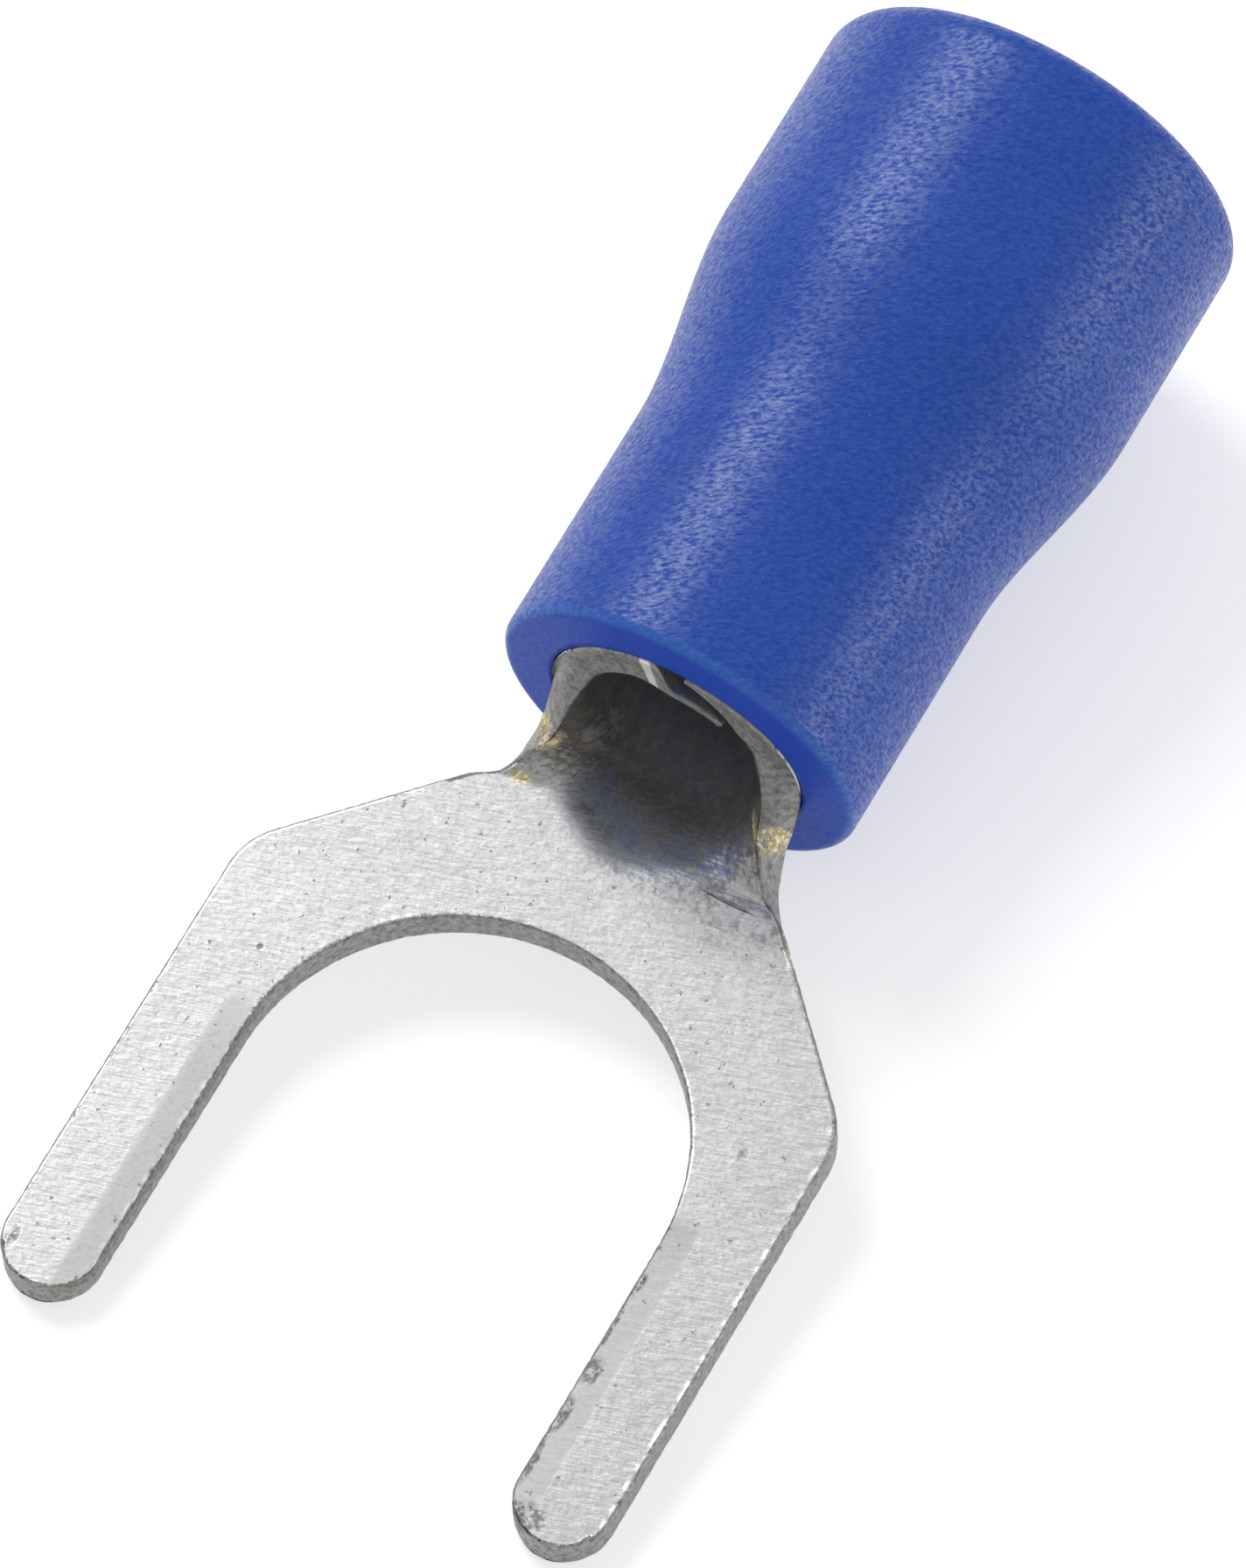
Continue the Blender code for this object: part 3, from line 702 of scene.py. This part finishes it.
# The sleeve: blue PVC moulded round a core pin, pushed over the barrel. The front is a narrow
# cylinder that flares to a wider one for the wire's insulation. Its skin has the fine
# wrinkled grain of the mould.
sleeve_low, sleeve_high = (np.array(corner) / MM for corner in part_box("insulation_sleeve"))
AXIS_HEIGHT = (sleeve_low[2] + sleeve_high[2]) / 2
WIDE_RADIUS = (sleeve_high[2] - sleeve_low[2]) / 2
FRONT = sleeve_low[0]
REAR = sleeve_high[0]
FLARE_RISE = 0.45
NARROW_RADIUS = WIDE_RADIUS - FLARE_RISE
NARROW_LENGTH = 3.65
FLARE_LENGTH = 3.3
RUNNING_GAP = 0.03
STOP_STEP = 0.4
STOP_LENGTH = 0.5
FUNNEL_LENGTH = 1.6
MOUTH_RADIUS = 2.35
POCKET_RADIUS = BARREL_RADIUS + RUNNING_GAP
POCKET_END = body_high[0] + RUNNING_GAP
FLARE_START = FRONT + NARROW_LENGTH
FLARE_END = FLARE_START + FLARE_LENGTH
STOP_RADIUS = POCKET_RADIUS - STOP_STEP
STOP_END = POCKET_END + STOP_LENGTH
FUNNEL_END = STOP_END + FUNNEL_LENGTH
FRONT_ROUND = 0.15
REAR_ROUND = 0.4
MOUTH_ROUND = 0.2
FRONT_RIM_STEPS = 8
NARROW_STEPS = 40
FLARE_STEPS = 40
WIDE_STEPS = 32
REAR_RIM_STEPS = 10
MOUTH_RIM_STEPS = 6
INSIDE_STEPS = 6
FUNNEL_STEPS = 16
POCKET_STEPS = 12
FACE_STEPS = 8
SHORT_STEPS = 3
SLEEVE_TURNS = 320


def sleeve_section():
    """The wall's closed section as (x, radius): front rim, outside, rear rims, inside, pocket.

    The rims are arcs. The flare and the funnel go from one radius to the other in a smooth S.
    """
    front_centre = (FRONT + FRONT_ROUND, NARROW_RADIUS - FRONT_ROUND)
    front_rim = arc(front_centre, FRONT_ROUND, 2 * QUARTER, QUARTER, FRONT_RIM_STEPS)
    narrow = straight(front_rim[-1], (FLARE_START, NARROW_RADIUS), NARROW_STEPS)
    flare_x = np.linspace(FLARE_START, FLARE_END, FLARE_STEPS + 1)
    flare_rise = smooth_ramp(flare_x, FLARE_START, FLARE_END)
    flare = np.column_stack([flare_x, NARROW_RADIUS + FLARE_RISE * flare_rise])
    rear_centre = (REAR - REAR_ROUND, WIDE_RADIUS - REAR_ROUND)
    rear_rim = arc(rear_centre, REAR_ROUND, QUARTER, 0.0, REAR_RIM_STEPS)
    wide = straight(flare[-1], rear_rim[0], WIDE_STEPS)
    mouth_centre = (REAR - MOUTH_ROUND, MOUTH_RADIUS + MOUTH_ROUND)
    mouth_rim = arc(mouth_centre, MOUTH_ROUND, 0.0, -QUARTER, MOUTH_RIM_STEPS)
    rear_face = straight(rear_rim[-1], mouth_rim[0], SHORT_STEPS)
    funnel_x = np.linspace(FUNNEL_END, STOP_END, FUNNEL_STEPS + 1)
    funnel_rise = smooth_ramp(funnel_x, STOP_END, FUNNEL_END)
    funnel = np.column_stack([funnel_x, STOP_RADIUS + (MOUTH_RADIUS - STOP_RADIUS) * funnel_rise])
    inside = straight(mouth_rim[-1], funnel[0], INSIDE_STEPS)
    throat = straight(funnel[-1], (POCKET_END, STOP_RADIUS), SHORT_STEPS)
    shelf = straight(throat[-1], (POCKET_END, POCKET_RADIUS), SHORT_STEPS)
    pocket = straight(shelf[-1], (FRONT, POCKET_RADIUS), POCKET_STEPS)
    face = straight(pocket[-1], front_rim[0], FACE_STEPS)
    return chain(front_rim, narrow, flare, wide, rear_rim, rear_face, mouth_rim, inside, funnel,
                 throat, shelf, pocket, face)[:-1]


# The section is turned about the barrel's axis: y = r sin(a), z = axis height - r cos(a).
section = sleeve_section()
angles = np.linspace(0.0, 2 * math.pi, SLEEVE_TURNS, endpoint=False)
x = np.broadcast_to(section[:, :1], (len(section), SLEEVE_TURNS))
radius = np.broadcast_to(section[:, 1:], (len(section), SLEEVE_TURNS))
sleeve_y = radius * np.sin(angles)
sleeve_z = AXIS_HEIGHT - radius * np.cos(angles)
sleeve_points = np.stack([x, sleeve_y, sleeve_z], axis=-1)
rows = np.arange(len(section))[:, None] * SLEEVE_TURNS
next_rows = (np.arange(len(section))[:, None] + 1) % len(section) * SLEEVE_TURNS
columns = np.arange(SLEEVE_TURNS)[None, :]
next_columns = (columns + 1) % SLEEVE_TURNS
sleeve_faces = np.stack(
    [rows + columns, rows + next_columns, next_rows + next_columns, next_rows + columns], axis=-1,
).reshape(-1, 4)
sleeve = make_mesh("pvc_sleeve", sleeve_points.reshape(-1, 3), sleeve_faces, {
    "radius": radius.ravel().copy(),
})

FOLD_TURN = math.radians(30.0)
FOLD_LUMP = (0.11, 0.20, 0.15)
FINE_FOLD_LUMP = (0.045, 0.080, 0.060)
GLINT_LUMP = (0.048, 0.12, 0.085)
PVC_DARK = (0.011, 0.065, 0.40)
PVC_BRIGHT = (0.016, 0.086, 0.47)
PVC_FACES_PAINTED_LIGHT = (0.018, 0.085, 0.62)
PVC_PAINTED_GLINT = (0.25, 0.32, 0.62)
PVC_RIM_PAINTED_HIGHLIGHT = (0.05, 0.20, 0.66)
WRINKLE_DEPTH = 0.018
pvc, pvc_shader, pvc_start = new_material("blue_sleeve_pvc")
place = pvc_start.add("ShaderNodeTexCoord", {}, {}, output=3).in_lumps((MM, MM, MM))
reach = pvc_start.add("ShaderNodeAttribute", {"attribute_name": "radius"}, {}, output=2)
outside = reach.ramp(NARROW_RADIUS - 0.12, NARROW_RADIUS - 0.02)
folds = place.in_lumps(FOLD_LUMP, FOLD_TURN).noise(1.0, 2.0, 0.5, 0.2) - 0.5
fine = place.in_lumps(FINE_FOLD_LUMP, FOLD_TURN).noise(1.0, 2.0, 0.5, 0.2) - 0.5
wrinkles = folds.math("ABSOLUTE", folds) * 2.0 + fine.math("ABSOLUTE", fine) * 0.8
polished = place.in_lumps(GLINT_LUMP, FOLD_TURN).noise(1.0, 3.0, 0.65, 0.3)
polished = polished.ramp(0.38, 0.68)
tone = place.noise(0.5, 3.0).mix(PVC_DARK, PVC_BRIGHT)
# Painted light: the faces off the outer skin are painted a lighter, more saturated blue.
tone = outside.mix(PVC_FACES_PAINTED_LIGHT, tone)
# Painted glints: small pale specks on the outer skin.
painted_glints = place.noise(11.0, 2.0, 0.5).ramp(0.72, 0.78)
tone = (painted_glints * outside * 0.25).mix(tone, PVC_PAINTED_GLINT)
# Painted highlight: a paler line along the front rim.
front_rim_highlight = reach.ramp(NARROW_RADIUS - 0.16, NARROW_RADIUS - 0.06)
front_rim_highlight = front_rim_highlight * place.part("X").ramp(FRONT + 0.16, FRONT + 0.08)
tone = (front_rim_highlight * 0.5).mix(tone, PVC_RIM_PAINTED_HIGHLIGHT)
feed(tone, pvc_shader.inputs["Base Color"])
feed(0.46 - polished * 0.16, pvc_shader.inputs["Roughness"])
feed(polished * outside, pvc_shader.inputs["Coat Weight"])
pvc_shader.inputs["Coat Roughness"].default_value = 0.36
pvc_shader.inputs["Coat IOR"].default_value = 1.62
pvc_shader.inputs["Specular IOR Level"].default_value = 0.15
skin = pvc_start.add("ShaderNodeBump", {}, {
    "Height": wrinkles * (outside * 0.85 + 0.15), "Strength": 1.0, "Distance": WRINKLE_DEPTH * MM,
})
feed(skin, pvc_shader.inputs["Normal"])
sleeve.data.materials.append(pvc)
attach(sleeve, "root")
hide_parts("insulation_sleeve")

# The studio: the terminal lies on a white floor as it comes to rest, on its tine tips and the
# sleeve's front rim. The floor is tilted to meet both, because the terminal stays as modelled.
# The studio's own lengths are in metres.
FLOOR_SIZE = 3.0
FLOOR_GAP = 0.00004
PAPER_GREY = (0.8, 0.8, 0.8, 1.0)
SEEN_GLOW = (0.50, 0.50, 0.50)
SKY_STRENGTH = 0.5
rest_x = FRONT + FRONT_ROUND
rest_z = AXIS_HEIGHT - NARROW_RADIUS
tilt = math.atan2(-rest_z, rest_x - body_low[0])
floor_mesh = bpy.data.meshes.new("floor")
corners = np.array([(-1, -1, 0), (1, -1, 0), (1, 1, 0), (-1, 1, 0)], dtype=float) * FLOOR_SIZE / 2
contact_x = (rest_x + body_low[0]) / 2 * MM
contact_z = rest_z / 2 * MM - FLOOR_GAP
corners[:, 2] = contact_z - (corners[:, 0] - contact_x) * math.tan(tilt)
floor_mesh.from_pydata(corners.tolist(), [], [(0, 1, 2, 3)])
floor = bpy.data.objects.new("floor", floor_mesh)
bpy.context.scene.collection.objects.link(floor)
paper, paper_shader, paper_start = new_material("white_paper")
paper_shader.inputs["Base Color"].default_value = PAPER_GREY
paper_shader.inputs["Roughness"].default_value = 0.9
paper_shader.inputs["Specular IOR Level"].default_value = 0.1
paper_shader.inputs["Emission Strength"].default_value = 1.0

# The paper glows a little for the camera and in reflections, so that it shows as white.
seen = paper_start.add("ShaderNodeLightPath", {}, {}, output="Is Camera Ray")
for ray in ("Is Glossy Ray", "Is Transmission Ray"):
    seen = seen.math("MAXIMUM", seen, paper_start.add("ShaderNodeLightPath", {}, {}, output=ray))
feed(seen.mix((0.0, 0.0, 0.0), SEEN_GLOW), paper_shader.inputs["Emission Color"])
floor_mesh.materials.append(paper)

world = bpy.data.worlds.new("studio")
bpy.context.scene.world = world
world.use_nodes = True
sky = world.node_tree.nodes["Background"]
sky.inputs["Color"].default_value = (1.0, 1.0, 1.0, 1.0)
sky.inputs["Strength"].default_value = SKY_STRENGTH

LAMP_DISTANCE = 0.3
LAMP_WIDTH = 0.133
LAMP_HEIGHT = 0.130


def soft_lamp(name, direction, radiance):
    """A rectangular soft lamp that faces the terminal, with its width along the sleeve.

    Its power is radiance times pi times its area.
    """
    lamp = bpy.data.lights.new(name, "AREA")
    lamp.shape = "RECTANGLE"
    lamp.size = LAMP_WIDTH
    lamp.size_y = LAMP_HEIGHT
    lamp.energy = radiance * math.pi * lamp.size * lamp.size_y
    back = np.array(direction) / np.linalg.norm(direction)
    side = np.array((1.0, 0.0, 0.0)) - back[0] * back
    side /= np.linalg.norm(side)
    turned = Matrix(np.column_stack([side, np.cross(back, side), back]).tolist())
    holder = bpy.data.objects.new(name, lamp)
    holder.rotation_euler = turned.to_euler()
    holder.location = back * LAMP_DISTANCE
    bpy.context.scene.collection.objects.link(holder)


soft_lamp("key", (0.35, 0.58, 0.735), 6.8)
soft_lamp("side", (0.35, -0.93, 0.10), 3.1)

# The camera stands where the photograph was taken from, worked out from the part's outline.
FILM_HEIGHT = 36.0
FOCAL_LENGTH = 315.31
CAMERA_PLACE = (-0.0640366, -0.0431983, 0.1675157)
CAMERA_DEGREES = (25.22586, 2.04043, -60.71366)
lens = bpy.data.cameras.new("camera")
lens.sensor_fit = "VERTICAL"
lens.sensor_height = FILM_HEIGHT
lens.lens = FOCAL_LENGTH
lens.clip_start = 0.01
camera = bpy.data.objects.new("camera", lens)
camera.location = CAMERA_PLACE
camera.rotation_euler = [math.radians(value) for value in CAMERA_DEGREES]
bpy.context.scene.collection.objects.link(camera)
bpy.context.scene.camera = camera
bpy.context.scene.view_settings.view_transform = "Standard"
